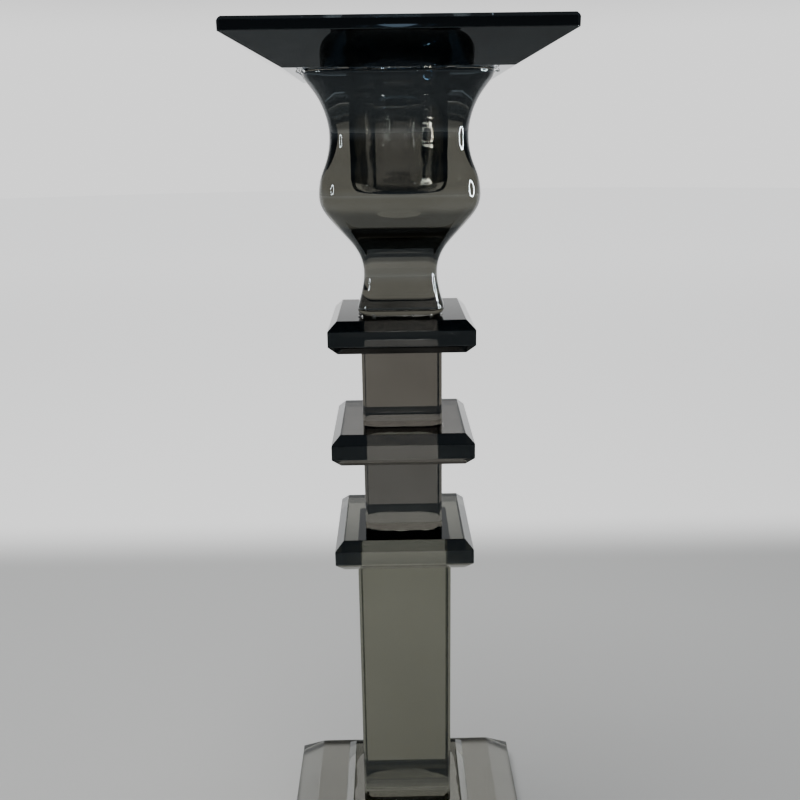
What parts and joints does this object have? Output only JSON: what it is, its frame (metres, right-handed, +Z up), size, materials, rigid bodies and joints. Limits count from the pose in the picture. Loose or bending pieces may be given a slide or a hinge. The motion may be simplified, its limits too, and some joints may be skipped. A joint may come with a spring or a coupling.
{
  "type": "candlestick",
  "caption": "Tall square smoked-glass candlestick: stepped bevelled base, square column, bevelled tiers on short blocks, pressed baluster cup and square drip tray for one taper candle.",
  "frame": {"origin": "centre of the underside, where the candlestick stands on a table", "axes": "+Z up along the stem and the candle, X and Y square to the sides of the slabs"},
  "size_m": [0.0732, 0.0732, 0.2293],
  "materials": {
    "tray_smoked_glass": "polished clear glass tinted smoke grey, faintly blue in depth",
    "pressed_smoked_glass": "fire-polished pressed glass tinted smoke grey, faintly olive, with soft ripples",
    "cut_smoked_glass": "ground and polished flat glass tinted smoke grey, faintly olive",
    "clear_adhesive": "cured clear adhesive film"
  },
  "bodies": {
    "root": {"drip_tray": "tray_smoked_glass", "candle_cup": "pressed_smoked_glass", "tier_upper": "cut_smoked_glass", "tier_middle": "cut_smoked_glass", "tier_lower": "cut_smoked_glass", "stem_block_upper": "cut_smoked_glass", "stem_block_lower": "cut_smoked_glass", "column": "cut_smoked_glass", "base_step": "cut_smoked_glass", "base_slab": "cut_smoked_glass", "bond_tray": "clear_adhesive", "bond_cup_foot": "clear_adhesive", "bond_upper_block_top": "clear_adhesive", "bond_upper_block_foot": "clear_adhesive", "bond_lower_block_top": "clear_adhesive", "bond_lower_block_foot": "clear_adhesive", "bond_column_top": "clear_adhesive", "bond_column_foot": "clear_adhesive", "bond_base": "clear_adhesive"}
  },
  "joints": []
}
